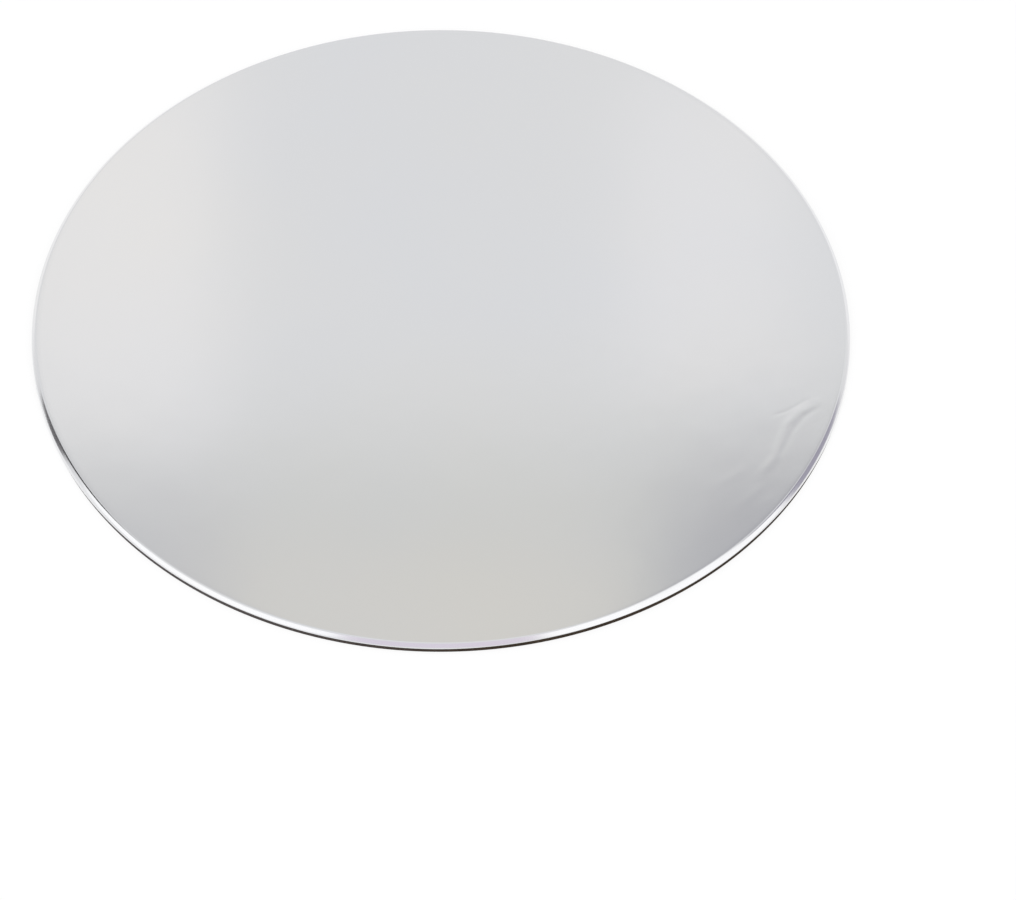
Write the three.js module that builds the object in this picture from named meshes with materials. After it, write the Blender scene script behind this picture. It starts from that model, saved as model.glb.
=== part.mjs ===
// A round cake board: a stiff card disc with silver foil laminated on its face. It is stamped
// out face up, so its upper edge is drawn down into a slope with soft corners that the foil
// covers. The lower part of the edge is cut card, square to the underside, with only a slight
// burr round at the foot. Foil and card are glued into one rigid sheet, so it is one solid.
//
// Millimetres, +Z up. The origin is the centre of the underside, so the board rests on Z = 0.
import * as THREE from "three";

// Driving dimensions.
const BOARD_DIAMETER = 254;
const BOARD_THICKNESS = 3;
const DRAW_WIDTH = 1.2;
const DRAW_DEPTH = 1.2;
const ARRIS_RADIUS = 0.8;
const SHOULDER_RADIUS = 0.8;
const FOOT_RADIUS = 0.25;

// How finely the round surfaces are divided.
const SEGMENTS_AROUND = 144;
const CORNER_STEPS = 5;

const FOIL_COLOUR = 0xd9dadc;
const FOIL_ROUGHNESS = 0.3;
const FOIL_METALNESS = 1;

// The points of a corner of the section, rounded to a radius. The round takes at most half of
// the side before it and half of the side after it.
function roundedCorner(before, corner, after, radius) {
  const toBefore = before.clone().sub(corner);
  const toAfter = after.clone().sub(corner);
  const halfAngle = Math.abs(toBefore.angleTo(toAfter)) / 2;
  const room = Math.min(toBefore.length(), toAfter.length()) / 2;
  const reach = Math.min(radius / Math.tan(halfAngle), room);
  const rounded = reach * Math.tan(halfAngle);
  const start = toBefore.normalize().multiplyScalar(reach).add(corner);
  const end = toAfter.normalize().multiplyScalar(reach).add(corner);
  const middle = start.clone().add(end).multiplyScalar(0.5);
  const outward = corner.clone().sub(middle).normalize();
  const centre = corner.clone().addScaledVector(outward, -rounded / Math.sin(halfAngle));
  const turn = Math.PI - 2 * halfAngle;
  const points = [];
  for (let step = 0; step <= CORNER_STEPS; step += 1) {
    const angle = turn * (step / CORNER_STEPS - 0.5);
    const spoke = outward.clone().rotateAround(new THREE.Vector2(0, 0), angle);
    points.push(centre.clone().addScaledVector(spoke, rounded));
  }
  return points;
}

// Half of the board's section, from the middle of the underside out, up the cut edge, over the
// drawn-down slope and back in to the middle of the face.
function boardSection() {
  const outerRadius = BOARD_DIAMETER / 2;
  const underMiddle = new THREE.Vector2(0, 0);
  const foot = new THREE.Vector2(outerRadius, 0);
  const shoulder = new THREE.Vector2(outerRadius, BOARD_THICKNESS - DRAW_DEPTH);
  const arris = new THREE.Vector2(outerRadius - DRAW_WIDTH, BOARD_THICKNESS);
  const faceMiddle = new THREE.Vector2(0, BOARD_THICKNESS);
  return [
    underMiddle,
    ...roundedCorner(underMiddle, foot, shoulder, FOOT_RADIUS),
    ...roundedCorner(foot, shoulder, arris, SHOULDER_RADIUS),
    ...roundedCorner(shoulder, arris, faceMiddle, ARRIS_RADIUS),
    faceMiddle,
  ];
}

function foilMaterial() {
  return new THREE.MeshStandardMaterial({
    color: FOIL_COLOUR,
    roughness: FOIL_ROUGHNESS,
    metalness: FOIL_METALNESS,
  });
}

// The lathe turns about Y, so a quarter turn about X stands its axis up along Z.
function cakeBoard() {
  const geometry = new THREE.LatheGeometry(boardSection(), SEGMENTS_AROUND);
  geometry.rotateX(Math.PI / 2);
  const mesh = new THREE.Mesh(geometry, foilMaterial());
  mesh.name = "cake_board";
  return mesh;
}

const board = new THREE.Group();
board.add(cakeBoard());

export default board;
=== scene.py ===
"""The looks of a round foil-faced cake board: a fine mesh in place of its plain solid, the finish
of the foil, the cut edge and the underside, and a plain pale studio. Metres, +Z up."""
import math

import bpy
from mathutils import Matrix, Vector


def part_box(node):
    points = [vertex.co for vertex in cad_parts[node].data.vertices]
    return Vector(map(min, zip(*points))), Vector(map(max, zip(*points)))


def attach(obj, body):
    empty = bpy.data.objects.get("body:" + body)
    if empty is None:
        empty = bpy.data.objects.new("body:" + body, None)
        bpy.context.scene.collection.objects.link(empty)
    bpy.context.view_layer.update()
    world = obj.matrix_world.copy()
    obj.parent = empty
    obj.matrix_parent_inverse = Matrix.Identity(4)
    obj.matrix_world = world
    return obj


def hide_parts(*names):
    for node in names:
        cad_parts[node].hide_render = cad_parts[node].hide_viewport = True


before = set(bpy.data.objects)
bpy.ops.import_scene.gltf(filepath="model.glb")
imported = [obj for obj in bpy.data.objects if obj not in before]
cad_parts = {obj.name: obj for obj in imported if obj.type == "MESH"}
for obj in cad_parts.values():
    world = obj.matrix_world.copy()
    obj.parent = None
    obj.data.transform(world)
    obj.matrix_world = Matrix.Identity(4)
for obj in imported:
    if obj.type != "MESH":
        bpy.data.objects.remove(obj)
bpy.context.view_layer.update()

MM = 0.001

# The board's own sizes, from its solid.
BOARD_LOW, BOARD_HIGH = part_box("cake_board")
BOARD_RADIUS = (BOARD_HIGH[0] - BOARD_LOW[0]) / 2
BOARD_THICKNESS = BOARD_HIGH[2] - BOARD_LOW[2]

# The edge's section, as on the solid: the foil is drawn down over a slope with soft corners.
DRAW_WIDTH = 1.2 * MM
DRAW_DEPTH = 1.2 * MM
ARRIS_RADIUS = 0.8 * MM
SHOULDER_RADIUS = 0.8 * MM
FOOT_RADIUS = 0.25 * MM

# How far down the edge the foil reaches, its thickness, and the most of its lip below the slope
# that the shoulder's round takes up.
FOIL_REACH = 1.45 * MM
FOIL_THICKNESS = 0.06 * MM
LIP_SHARE = 0.9

# The photograph's frame and the board's place in it, in its pixels.
FRAME_WIDTH_PX = 1016
FRAME_HEIGHT_PX = 900
BOARD_MIDDLE_PX = (440.9, 333.0)
BOARD_WIDTH_PX = 818.5

CAMERA_ELEVATION = math.radians(49.4)
CAMERA_LENS_MM = 800
SENSOR_WIDTH_MM = 36
CLIP_RATIO = 10


def view_directions():
    """The camera's right, up and backward directions."""
    right = Vector((1, 0, 0))
    up = Vector((0, math.sin(CAMERA_ELEVATION), math.cos(CAMERA_ELEVATION)))
    backward = Vector((0, -math.cos(CAMERA_ELEVATION), math.sin(CAMERA_ELEVATION)))
    return right, up, backward


def make_camera():
    """A long lens looking down, aimed so that the board lies up and left of the picture's middle."""
    right, up, backward = view_directions()
    metres_per_px = 2 * BOARD_RADIUS / BOARD_WIDTH_PX
    distance = metres_per_px * FRAME_WIDTH_PX * CAMERA_LENS_MM / SENSOR_WIDTH_MM
    across = (FRAME_WIDTH_PX / 2 - BOARD_MIDDLE_PX[0]) * metres_per_px
    down = (FRAME_HEIGHT_PX / 2 - BOARD_MIDDLE_PX[1]) * metres_per_px
    face_centre = Vector((0, 0, BOARD_THICKNESS))
    data = bpy.data.cameras.new("camera")
    data.lens = CAMERA_LENS_MM
    data.sensor_width = SENSOR_WIDTH_MM
    data.clip_start = distance / CLIP_RATIO
    data.clip_end = distance * CLIP_RATIO
    camera = bpy.data.objects.new("camera", data)
    camera.location = face_centre + right * across - up * down + backward * distance
    camera.rotation_mode = "QUATERNION"
    camera.rotation_quaternion = Matrix((right, up, backward)).transposed().to_quaternion()
    bpy.context.scene.collection.objects.link(camera)
    bpy.context.scene.camera = camera


# How the mesh is divided: fine near the rim, and finest round the creases. The steps across the
# face are lengths, the steps round it are degrees, and the last ones are steps of a corner.
FACE_FINE_FROM = 88 * MM
FACE_MARGIN = 3 * MM
FACE_COARSE_STEP = 4 * MM
FACE_FINE_STEP = 0.5 * MM
COLUMN_STEP = 1.25
CREASED_COLUMN_STEP = 0.2
CREASED_SECTOR = (-46.0, -6.0)
ARRIS_STEPS = 10
SHOULDER_STEPS = 8
FOOT_STEPS = 4
SHARP_ANGLE = math.radians(50)


def column_angles():
    """The azimuths of the mesh's columns, in degrees, closer together round the creases."""
    start, end = CREASED_SECTOR
    fine = round((end - start) / CREASED_COLUMN_STEP)
    coarse = round((360 - (end - start)) / COLUMN_STEP)
    angles = [start + (end - start) * i / fine for i in range(fine)]
    angles += [end + (360 - (end - start)) * i / coarse for i in range(coarse)]
    return angles


# How the edge changes round the board, each as the azimuth of its middle and its half-width in
# degrees, and the most that it adds in millimetres.
SOFT_SLOPE = (-53, 12, 0.6)
SOFT_ARRIS_LEFT = (-140, 28, 0.7)
SOFT_ARRIS_RIGHT = (-36, 9, 0.5)
SHORT_FOIL = (-60, 25, -0.15)
LONG_FOIL_LEFT = (-160, 14, 1.3)
LONG_FOIL_RIGHT = (-14, 14, 1.2)

# The foil's uneven reach: how many waves go round the board, their start in radians and their
# height in millimetres.
REACH_WAVES = ((7, 0.35, 0.04), (19, 0, 0.03))


def change_at(azimuth, *changes):
    """What the changes add at an azimuth, each a smooth bell, in metres."""
    total = 0.0
    for middle, width, most in changes:
        turn = (azimuth - middle + 180) % 360 - 180
        total += most * math.exp(-((turn / width) ** 2))
    return total * MM


def draw_width(azimuth):
    """How far in the drawn-down slope begins. It is widest at the front right."""
    return DRAW_WIDTH + change_at(azimuth, SOFT_SLOPE)


def foil_reach(azimuth):
    """How far down the foil reaches, a little uneven where the die let go of it."""
    turn = math.radians(azimuth)
    uneven = sum(height * math.sin(turn * waves + start) for waves, start, height in REACH_WAVES)
    change = change_at(azimuth, SHORT_FOIL, LONG_FOIL_LEFT, LONG_FOIL_RIGHT)
    return FOIL_REACH + uneven * MM + change


def arris_radius(azimuth):
    """The round between the face and the slope. It is softest at the front left."""
    return ARRIS_RADIUS + change_at(azimuth, SOFT_ARRIS_LEFT, SOFT_ARRIS_RIGHT)


def shoulder_radius(azimuth):
    """The round between the slope and the lip, as large as the lip has room for."""
    room = foil_reach(azimuth) - DRAW_DEPTH
    turn = math.atan2(draw_width(azimuth), DRAW_DEPTH)
    return min(SHOULDER_RADIUS, LIP_SHARE * room / math.tan(turn / 2))


# Creases in the foil at the front right: points in millimetres on the face, and the height and
# half-width of each in millimetres. A raised crease has a positive height. Each fades in from its
# ends over a few of its half-widths.
CREASE_FADE = 4
CREASES = (
    (
        ((116, -28.5), (111, -32.5), (107.3, -37), (105.3, -43.5), (103.5, -50.5), (98.5, -58.5)),
        0.026,
        1.5,
    ),
    (((113.8, -26.8), (110.8, -29.3), (107.7, -31.6), (103, -33.8)), -0.010, 0.6),
    (((117, -30), (112.3, -34.4), (108.9, -39.8), (107, -45), (105, -50)), -0.014, 0.9),
    (((95.5, -53.5), (90.5, -58.5), (84, -63)), 0.010, 1.8),
    (((101.5, -59.5), (96.5, -65.5), (91, -71.5)), 0.010, 1.6),
    (((103.5, -66), (99, -70.5)), 0.008, 1.2),
)


def distance_to_line(point, start, end):
    """The distance from a point to a stretch of a line."""
    across = end - start
    share = max(0.0, min(1.0, (point - start).dot(across) / across.length_squared))
    return (point - start - across * share).length


def face_relief(x, y):
    """The height of the creases in metres, at a point of the face given in millimetres."""
    point = Vector((x, y))
    height = 0.0
    for points, rise, width in CREASES:
        corners = [Vector(p) for p in points]
        gap = min(distance_to_line(point, a, b) for a, b in zip(corners, corners[1:]))
        ends = min((point - corners[0]).length, (point - corners[-1]).length)
        fade = min(1.0, (ends + width) / (CREASE_FADE * width))
        height += rise * fade * math.exp(-((gap / width) ** 2))
    return height * MM


FOIL, CUT_EDGE, UNDERSIDE = range(3)


def face_radii():
    """The radii of the face's rings, from the middle out, short of the drawn-down edge."""
    end = BOARD_RADIUS - FACE_MARGIN
    coarse = round(FACE_FINE_FROM / FACE_COARSE_STEP)
    fine = round((end - FACE_FINE_FROM) / FACE_FINE_STEP)
    radii = [FACE_FINE_FROM * i / coarse for i in range(1, coarse)]
    radii += [FACE_FINE_FROM + (end - FACE_FINE_FROM) * i / fine for i in range(fine + 1)]
    return radii


def rounded_corner(before, corner, after, radius, steps):
    """The points of a corner of the section, rounded to a radius."""
    to_before = (before - corner).normalized()
    to_after = (after - corner).normalized()
    half_angle = to_before.angle(to_after) / 2
    outward = -(to_before + to_after).normalized()
    centre = corner - outward * (radius / math.sin(half_angle))
    turn = math.pi - 2 * half_angle
    points = []
    for step in range(steps + 1):
        spoke = outward.copy()
        spoke.rotate(Matrix.Rotation(turn * (0.5 - step / steps), 2))
        points.append(centre + spoke * radius)
    return points


def edge_section(azimuth):
    """The edge at an azimuth, from the face to the underside, as (point, material) pairs. A point
    holds the radius and the height, and the material is that of the ring above it."""
    middle = Vector((0, BOARD_THICKNESS))
    arris = Vector((BOARD_RADIUS - draw_width(azimuth), BOARD_THICKNESS))
    shoulder = Vector((BOARD_RADIUS, BOARD_THICKNESS - DRAW_DEPTH))
    lip = Vector((BOARD_RADIUS, BOARD_THICKNESS - foil_reach(azimuth)))
    card = lip - Vector((FOIL_THICKNESS, 0))
    foot = Vector((card[0], 0))
    underside = Vector((0, 0))
    foil = rounded_corner(middle, arris, shoulder, arris_radius(azimuth), ARRIS_STEPS)
    foil += rounded_corner(arris, shoulder, lip, shoulder_radius(azimuth), SHOULDER_STEPS)
    foil += [lip, card]
    cut = [(card + foot) / 2]
    cut += rounded_corner(card, foot, underside, FOOT_RADIUS, FOOT_STEPS)
    return [(point, FOIL) for point in foil] + [(point, CUT_EDGE) for point in cut]


UNDERSIDE_SHARES = (0.97, 0.8, 0.6, 0.4, 0.2)


def board_rings(azimuth):
    """One column of the board's skin, as (radius, height, material), from near the face's middle
    round the edge to near the underside's middle."""
    rings = [(radius, BOARD_THICKNESS, FOIL) for radius in face_radii()]
    rings += [(point[0], point[1], slot) for point, slot in edge_section(azimuth)]
    rings += [(BOARD_RADIUS * share, 0.0, UNDERSIDE) for share in UNDERSIDE_SHARES]
    return rings


def make_board():
    """The board as one closed skin in place of its solid."""
    angles = column_angles()
    vertices = [(0, 0, BOARD_THICKNESS)]
    zones = [zone for _, _, zone in board_rings(0)]
    rings = len(zones)
    for azimuth in angles:
        turn = math.radians(azimuth)
        for radius, height, _ in board_rings(azimuth):
            x = radius * math.cos(turn)
            y = radius * math.sin(turn)
            if height == BOARD_THICKNESS and radius > FACE_FINE_FROM and x > 0 > y:
                height += face_relief(x / MM, y / MM)
            vertices.append((x, y, height))
    vertices.append((0, 0, 0))
    last = len(vertices) - 1
    columns = len(angles)
    faces = []
    slots = []
    for column in range(columns):
        here = 1 + column * rings
        beyond = 1 + (column + 1) % columns * rings
        faces.append((0, here, beyond))
        slots.append(FOIL)
        for ring in range(rings - 1):
            faces.append((here + ring, here + ring + 1, beyond + ring + 1, beyond + ring))
            slots.append(zones[ring + 1])
        faces.append((here + rings - 1, last, beyond + rings - 1))
        slots.append(UNDERSIDE)
    mesh = bpy.data.meshes.new("foil_board")
    mesh.from_pydata(vertices, [], faces)
    mesh.polygons.foreach_set("material_index", slots)
    mesh.polygons.foreach_set("use_smooth", [True] * len(faces))
    mesh.set_sharp_from_angle(angle=SHARP_ANGLE)
    mesh.update()
    board = bpy.data.objects.new("foil_board", mesh)
    bpy.context.scene.collection.objects.link(board)
    for material in (foil_material(), cut_edge_and_shade_material(), underside_material()):
        mesh.materials.append(material)
    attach(board, "root")
    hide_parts("cake_board")


def new_material(name):
    """A material with its node tree and Principled node."""
    material = bpy.data.materials.new(name)
    material.use_nodes = True
    return material, material.node_tree, material.node_tree.nodes["Principled BSDF"]


def add_noise(tree, scale, detail=2.0, stretch=(1, 1, 1)):
    """A noise over the object's own coordinates, scale in features for each metre."""
    place = tree.nodes.new("ShaderNodeTexCoord")
    mapping = tree.nodes.new("ShaderNodeMapping")
    mapping.inputs["Scale"].default_value = stretch
    noise = tree.nodes.new("ShaderNodeTexNoise")
    noise.inputs["Scale"].default_value = scale
    noise.inputs["Detail"].default_value = detail
    tree.links.new(place.outputs["Object"], mapping.inputs["Vector"])
    tree.links.new(mapping.outputs["Vector"], noise.inputs["Vector"])
    return noise.outputs["Fac"]


def add_range(tree, value, low, high, source=(0.3, 0.7)):
    """value, which runs over source, spread from low to high."""
    node = tree.nodes.new("ShaderNodeMapRange")
    node.inputs["From Min"].default_value = source[0]
    node.inputs["From Max"].default_value = source[1]
    node.inputs["To Min"].default_value = low
    node.inputs["To Max"].default_value = high
    tree.links.new(value, node.inputs["Value"])
    return node.outputs["Result"]


def add_mix(tree, share, first, second):
    """A colour between first and second."""
    node = tree.nodes.new("ShaderNodeMix")
    node.data_type = "RGBA"
    tree.links.new(share, node.inputs["Factor"])
    colours = [socket for socket in node.inputs if socket.type == "RGBA"]
    for socket, colour in zip(colours, (first, second)):
        if isinstance(colour, tuple):
            socket.default_value = (*colour, 1)
        else:
            tree.links.new(colour, socket)
    return [socket for socket in node.outputs if socket.type == "RGBA"][0]


def add_math(tree, kind, first, second):
    """One sum on two values, each a number or a socket."""
    node = tree.nodes.new("ShaderNodeMath")
    node.operation = kind
    for socket, value in zip(node.inputs, (first, second)):
        if isinstance(value, (int, float)):
            socket.default_value = value
        else:
            tree.links.new(value, socket)
    return node.outputs[0]


def add_bump(tree, height, distance, under=None):
    """A bump of that height in metres, over another."""
    node = tree.nodes.new("ShaderNodeBump")
    node.inputs["Strength"].default_value = 1
    node.inputs["Distance"].default_value = distance
    tree.links.new(height, node.inputs["Height"])
    if under is not None:
        tree.links.new(under, node.inputs["Normal"])
    return node.outputs["Normal"]


FOIL_COOL = (0.795, 0.802, 0.825)
FOIL_WARM = (0.81, 0.808, 0.81)
FOIL_ROUGHNESS = (0.135, 0.145)

# How many features a metre each unevenness of the foil has, and how high they stand.
TONE_SCALE = 9
GLOSS_SCALE = 70
WAVE_SCALE = 60
WAVE_HEIGHT = 0.03 * MM
PEEL_SCALE = 420
PEEL_HEIGHT = 0.0015 * MM


def foil_material():
    """Satin aluminium foil, faintly uneven in tone and gloss, over the card's slight orange peel."""
    material, tree, shader = new_material("silver_foil")
    shader.inputs["Metallic"].default_value = 1
    tone = add_range(tree, add_noise(tree, TONE_SCALE), 0, 1)
    tree.links.new(add_mix(tree, tone, FOIL_COOL, FOIL_WARM), shader.inputs["Base Color"])
    gloss = add_range(tree, add_noise(tree, GLOSS_SCALE, detail=4), *FOIL_ROUGHNESS)
    tree.links.new(gloss, shader.inputs["Roughness"])
    waves = add_bump(tree, add_noise(tree, WAVE_SCALE, detail=1), WAVE_HEIGHT)
    peel = add_bump(tree, add_noise(tree, PEEL_SCALE, detail=2), PEEL_HEIGHT, waves)
    tree.links.new(peel, shader.inputs["Normal"])
    return material


# The cut edge's brown, darkened beyond the card's own colour as painted shade for the shadow along
# the board's foot.
EDGE_DARK = (0.026, 0.018, 0.011)
EDGE_LIGHT = (0.062, 0.043, 0.028)
# The pale grey below is painted light: the edge is made paler towards the left, as if more light
# fell there.
EDGE_PAINTED_LIGHT = (0.13, 0.12, 0.125)
EDGE_PAINTED_LIGHT_UNTIL = 0.1 * BOARD_RADIUS
PLY_SCALE = 220
PLY_FLATNESS = 16
PLY_HEIGHT = 0.05 * MM


def cut_edge_and_shade_material():
    """The card's bare cut edge: dark brown, darkened further by painted shade for the shadow along
    the board's foot, matt, in thin plies, and paler towards the left by painted light.
    """
    material, tree, shader = new_material("cut_card_edge_and_shade")
    plies = add_noise(tree, PLY_SCALE, detail=3, stretch=(1, 1, PLY_FLATNESS))
    card = add_mix(tree, add_range(tree, plies, 0, 1), EDGE_DARK, EDGE_LIGHT)
    place = tree.nodes.new("ShaderNodeTexCoord")
    split = tree.nodes.new("ShaderNodeSeparateXYZ")
    tree.links.new(place.outputs["Object"], split.inputs["Vector"])
    # Painted light: the edge fades to pale grey towards the left.
    pale = add_range(tree, split.outputs["X"], 1, 0, (-BOARD_RADIUS, EDGE_PAINTED_LIGHT_UNTIL))
    tree.links.new(add_mix(tree, pale, card, EDGE_PAINTED_LIGHT), shader.inputs["Base Color"])
    shader.inputs["Roughness"].default_value = 0.9
    shader.inputs["Specular IOR Level"].default_value = 0.2
    tree.links.new(add_bump(tree, plies, PLY_HEIGHT), shader.inputs["Normal"])
    return material


CARD_DARK = (0.20, 0.145, 0.098)
CARD_LIGHT = (0.30, 0.225, 0.155)
CARD_FLECK = (0.11, 0.078, 0.052)
MOTTLE_SCALE = 160
TOOTH_SCALE = 900
TOOTH_HEIGHT = 0.04 * MM

# The fibres: features a metre, how they are drawn out, where in the noise they begin and are full,
# and how strongly they show.
FIBRE_SCALE = 500
FIBRE_STRETCH = (1, 0.18, 1)
FIBRE_RANGE = (0.62, 0.72)
FIBRE_STRENGTH = 0.7


def underside_material():
    """Plain brown card: mottled, with short darker fibres and a fine tooth."""
    material, tree, shader = new_material("brown_card")
    mottle = add_range(tree, add_noise(tree, MOTTLE_SCALE, detail=6), 0, 1)
    card = add_mix(tree, mottle, CARD_DARK, CARD_LIGHT)
    fibres = add_noise(tree, FIBRE_SCALE, detail=1, stretch=FIBRE_STRETCH)
    shown = add_range(tree, fibres, 0, FIBRE_STRENGTH, FIBRE_RANGE)
    tree.links.new(add_mix(tree, shown, card, CARD_FLECK), shader.inputs["Base Color"])
    shader.inputs["Roughness"].default_value = 0.88
    shader.inputs["Specular IOR Level"].default_value = 0.3
    tooth = add_bump(tree, add_noise(tree, TOOTH_SCALE, detail=5), TOOTH_HEIGHT)
    tree.links.new(tooth, shader.inputs["Normal"])
    return material


WHITE = (1, 1, 1)
FLOOR_SIZE = 60
FLOOR_DROP = 0.02 * MM
FLOOR_COLOUR = (0.93, 0.93, 0.93)

# How much of the floor's paint is plain white to the camera and in reflections, and how bright.
FLOOR_WHITENED = 0.82
FLOOR_WHITE = 1.06


def make_floor():
    """A plain white floor, a hair below the board, that keeps its shadow."""
    half = FLOOR_SIZE / 2
    corners = [(-half, -half, 0), (half, -half, 0), (half, half, 0), (-half, half, 0)]
    mesh = bpy.data.meshes.new("floor")
    mesh.from_pydata(corners, [], [(0, 1, 2, 3)])
    floor = bpy.data.objects.new("floor", mesh)
    floor.location.z = -FLOOR_DROP
    bpy.context.scene.collection.objects.link(floor)
    mesh.materials.append(floor_material())


def floor_material():
    """White paint, mixed with plain white for the rays that the camera and reflections send."""
    material, tree, shader = new_material("white_floor")
    shader.inputs["Base Color"].default_value = (*FLOOR_COLOUR, 1)
    shader.inputs["Roughness"].default_value = 1
    shader.inputs["Specular IOR Level"].default_value = 0
    rays = tree.nodes.new("ShaderNodeLightPath").outputs
    seen = add_math(tree, "MAXIMUM", rays["Is Camera Ray"], rays["Is Glossy Ray"])
    seen = add_math(tree, "MAXIMUM", seen, rays["Is Transmission Ray"])
    white = tree.nodes.new("ShaderNodeEmission")
    white.inputs["Strength"].default_value = FLOOR_WHITE
    mix = tree.nodes.new("ShaderNodeMixShader")
    tree.links.new(add_math(tree, "MULTIPLY", seen, FLOOR_WHITENED), mix.inputs["Fac"])
    tree.links.new(shader.outputs["BSDF"], mix.inputs[1])
    tree.links.new(white.outputs["Emission"], mix.inputs[2])
    tree.links.new(mix.outputs["Shader"], tree.nodes["Material Output"].inputs["Surface"])
    return material


SKY_HORIZON = (0.87, 0.87, 0.875)
SKY_TOP = (0.858, 0.863, 0.868)
SKY_TOP_FROM = 0.6


def make_world():
    """A pale grey room, a trace darker and bluer overhead. The camera sees it white."""
    world = bpy.data.worlds.new("studio")
    world.use_nodes = True
    bpy.context.scene.world = world
    tree = world.node_tree
    background = tree.nodes["Background"]
    place = tree.nodes.new("ShaderNodeTexCoord")
    split = tree.nodes.new("ShaderNodeSeparateXYZ")
    tree.links.new(place.outputs["Generated"], split.inputs["Vector"])
    height = add_range(tree, split.outputs["Z"], 0, 1, (0, SKY_TOP_FROM))
    room = add_mix(tree, height, SKY_HORIZON, SKY_TOP)
    rays = tree.nodes.new("ShaderNodeLightPath").outputs
    tree.links.new(add_mix(tree, rays["Is Camera Ray"], room, WHITE), background.inputs["Color"])


def add_edge_fade(tree, across, soft_share):
    """A value that is 1 over a card's middle and falls to 0 at its edges, along one of its sides."""
    distance = add_math(tree, "ABSOLUTE", across, 0)
    fade = tree.nodes.new("ShaderNodeMapRange")
    fade.interpolation_type = "SMOOTHSTEP"
    fade.inputs["From Min"].default_value = 0.5 - soft_share
    fade.inputs["From Max"].default_value = 0.5
    fade.inputs["To Min"].default_value = 1
    fade.inputs["To Max"].default_value = 0
    tree.links.new(distance, fade.inputs["Value"])
    return fade.outputs["Result"]


def card_material(name, tone, soft_shares):
    """An even glow that fades out towards the card's edges."""
    material, tree, shader = new_material(name)
    place = tree.nodes.new("ShaderNodeTexCoord")
    split = tree.nodes.new("ShaderNodeSeparateXYZ")
    tree.links.new(place.outputs["Object"], split.inputs["Vector"])
    fade = add_math(
        tree,
        "MULTIPLY",
        add_edge_fade(tree, split.outputs["X"], soft_shares[0]),
        add_edge_fade(tree, split.outputs["Y"], soft_shares[1]),
    )
    glow = tree.nodes.new("ShaderNodeEmission")
    glow.inputs["Color"].default_value = (*tone, 1)
    clear = tree.nodes.new("ShaderNodeBsdfTransparent")
    mix = tree.nodes.new("ShaderNodeMixShader")
    tree.links.new(fade, mix.inputs["Fac"])
    tree.links.new(clear.outputs["BSDF"], mix.inputs[1])
    tree.links.new(glow.outputs["Emission"], mix.inputs[2])
    tree.links.new(mix.outputs["Shader"], tree.nodes["Material Output"].inputs["Surface"])
    return material


def make_card(name, middle, facing, width, height, soft, tone):
    """A flat card in the studio, turned to a direction, seen only in reflections and by its light.
    Its edges are soft over the width given."""
    mesh = bpy.data.meshes.new(name)
    corners = [(-0.5, -0.5, 0), (0.5, -0.5, 0), (0.5, 0.5, 0), (-0.5, 0.5, 0)]
    mesh.from_pydata(corners, [], [(0, 1, 2, 3)])
    mesh.materials.append(card_material(name, tone, (soft / width, soft / height)))
    card = bpy.data.objects.new(name, mesh)
    across = Vector((0, 0, 1)).cross(facing).normalized()
    upward = facing.cross(across)
    turn = Matrix((across, upward, facing)).transposed().to_4x4()
    card.matrix_world = Matrix.Translation(middle) @ turn @ Matrix.Diagonal((width, height, 1, 1))
    card.visible_camera = False
    bpy.context.scene.collection.objects.link(card)


MIRROR_DISTANCE = 450 * MM
MIRROR_STEP = 4 * MM

# What the face mirrors, in millimetres from the board's middle in the picture: name, left, right,
# top, bottom, softness and tone. Pale panels stand at the sides, over a shade at the bottom.
MIRRORED_CARDS = (
    ("low_shade", -300, 300, 7, 260, 62, (0.705, 0.715, 0.70)),
    ("left_panel", -165, -56, -112, 56, 34, (0.965, 0.955, 0.945)),
    ("right_panel", 42, 132, -105, 38, 34, (0.935, 0.93, 0.93)),
    ("left_low", -260, -52, 34, 240, 36, (0.645, 0.645, 0.655)),
    ("right_low", 48, 300, 19, 240, 56, (0.45, 0.45, 0.48)),
    ("middle_low", -76, 70, 64, 190, 11, (0.775, 0.758, 0.712)),
)


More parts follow.
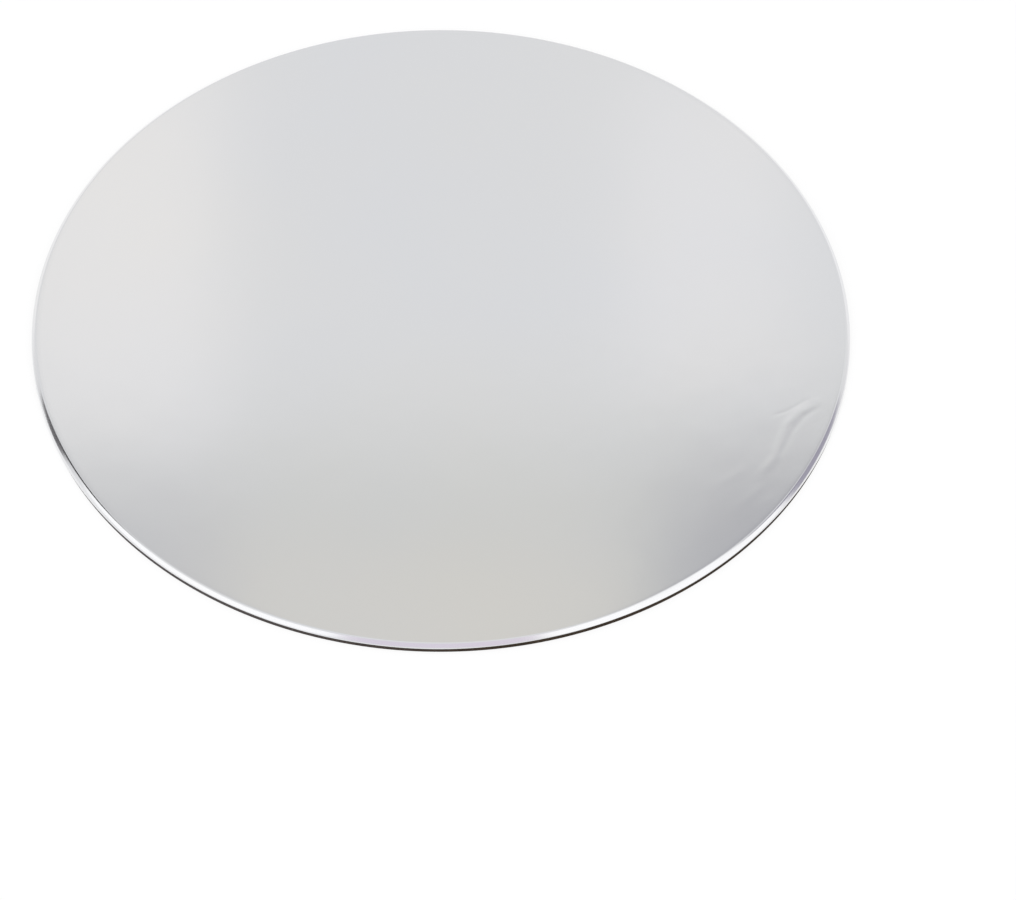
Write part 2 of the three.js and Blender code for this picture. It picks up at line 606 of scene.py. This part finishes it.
def make_mirrored_cards():
    """The panels that the face mirrors to the camera. They are square to the mirrored view, each a
    little in front of the one before it, so a place across and down the picture is one on them."""
    right, up, backward = view_directions()
    mirrored = Vector((0, -backward.y, backward.z))
    downward = Vector((0, -mirrored.z, mirrored.y))
    for step, (name, left, right_end, top, bottom, soft, tone) in enumerate(MIRRORED_CARDS):
        across = (left + right_end) / 2 * MM
        down = (top + bottom) / 2 * MM
        away = MIRROR_DISTANCE - step * MIRROR_STEP
        middle = mirrored * away + right * across + downward * down
        width = (right_end - left) * MM
        height = (bottom - top) * MM
        make_card(name, middle, -mirrored, width, height, soft * MM, tone)


def studio_place(azimuth, elevation, distance):
    """A point seen from the board at an azimuth from the back, positive to the right."""
    turn = math.radians(azimuth)
    rise = math.radians(elevation)
    level = distance * math.cos(rise)
    return Vector((level * math.sin(turn), level * math.cos(turn), distance * math.sin(rise)))


# What the drawn-down edge mirrors, by name: the azimuth from the back and the elevation in degrees,
# then the distance, width, height and softness in metres, and the tone. A soft box stands at each
# front corner, with a pale panel between them. Beside each box is a dark gap with a darker top,
# over a low white strip.
STUDIO_CARDS = (
    ("left_box", -117, 34, 1.3, 1.60, 0.80, 0.06, (1.22, 1.22, 1.22)),
    ("right_box", 117, 34, 1.3, 1.60, 0.80, 0.06, (1.22, 1.22, 1.22)),
    ("front_panel", 180, 40, 1.25, 1.00, 0.80, 0.15, (0.82, 0.76, 0.855)),
    ("left_gap", -71.5, 27, 1.2, 0.34, 0.95, 0.05, (0.13, 0.125, 0.13)),
    ("left_gap_top", -71, 43, 1.18, 0.46, 0.40, 0.05, (0.03, 0.03, 0.03)),
    ("left_strip", -82, 3, 1.15, 0.62, 0.18, 0.04, (1.15, 1.15, 1.15)),
    ("right_gap", 77, 27, 1.2, 0.62, 1.00, 0.12, (0.40, 0.385, 0.46)),
    ("right_gap_top", 86, 38, 1.18, 0.50, 0.30, 0.08, (0.30, 0.29, 0.35)),
    ("right_strip", 82, 3, 1.15, 0.62, 0.18, 0.04, (1.15, 1.15, 1.15)),
)


def make_studio_cards():
    """The boxes, gaps and strips, each turned to the board."""
    for name, azimuth, elevation, distance, width, height, soft, tone in STUDIO_CARDS:
        middle = studio_place(azimuth, elevation, distance)
        make_card(name, middle, -middle.normalized(), width, height, soft, tone)


def set_colours():
    """The colours as they are written."""
    bpy.context.scene.view_settings.view_transform = "Standard"


make_camera()
make_board()
make_floor()
make_world()
make_mirrored_cards()
make_studio_cards()
set_colours()
